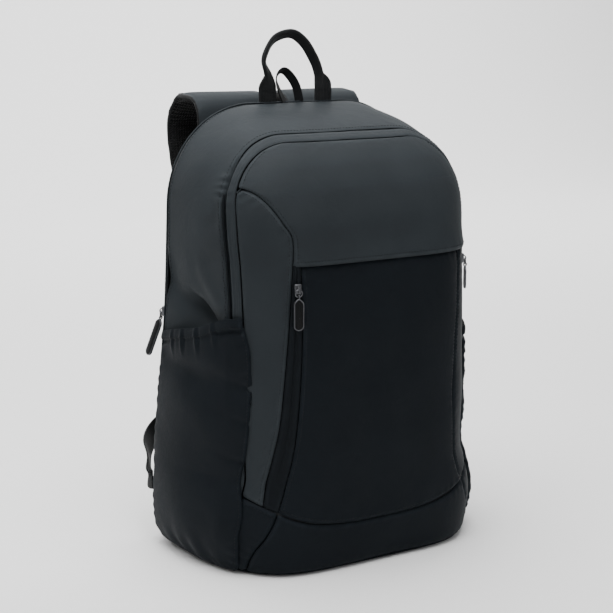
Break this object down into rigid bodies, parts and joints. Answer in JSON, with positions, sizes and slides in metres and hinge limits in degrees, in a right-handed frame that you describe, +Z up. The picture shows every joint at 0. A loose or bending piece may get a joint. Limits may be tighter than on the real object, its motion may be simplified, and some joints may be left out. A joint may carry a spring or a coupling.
{
  "type": "laptop backpack",
  "caption": "Slim upright laptop backpack with a padded back, shoulder straps, webbing grab handle, side pockets, main zip and an upright front pocket zip.",
  "frame": {"origin": "on the floor, under the middle of the bounding box", "axes": "+Z up, -Y towards the front with the pocket zip, +X to the right of someone facing the front"},
  "size_m": [0.3396, 0.2548, 0.522],
  "materials": {
    "coated_cloth": "matte coated polyester with a soft sheen",
    "spacer_mesh": "knitted spacer mesh",
    "webbing": "woven webbing",
    "moulded_black": "moulded",
    "gunmetal": "dark plated"
  },
  "bodies": {
    "root": {"gusset": "coated_cloth", "laptop_zip_band": "coated_cloth", "main_zip_strip": "coated_cloth", "front_upper": "coated_cloth", "front_side_left": "coated_cloth", "front_side_right": "coated_cloth", "front_zip_placket": "coated_cloth", "front_pocket": "coated_cloth", "base_front": "coated_cloth", "base_corner_left": "coated_cloth", "base_corner_right": "coated_cloth", "side_pocket_left": "coated_cloth", "side_pocket_right": "coated_cloth", "bottom": "coated_cloth", "back_panel": "spacer_mesh", "shoulder_strap_left": "spacer_mesh", "shoulder_strap_right": "spacer_mesh", "strap_webbing_left": "webbing", "strap_webbing_right": "webbing", "grab_handle": "webbing", "hang_loop": "webbing", "strap_buckle_left": "moulded_black", "strap_buckle_right": "moulded_black", "front_zip_slider": "gunmetal", "front_zip_ring": "gunmetal", "front_zip_pull": "gunmetal", "laptop_zip_slider": "gunmetal", "laptop_zip_ring": "gunmetal", "laptop_zip_pull": "gunmetal", "main_zip_slider": "gunmetal", "main_zip_ring": "gunmetal", "main_zip_pull": "gunmetal"}
  },
  "joints": []
}
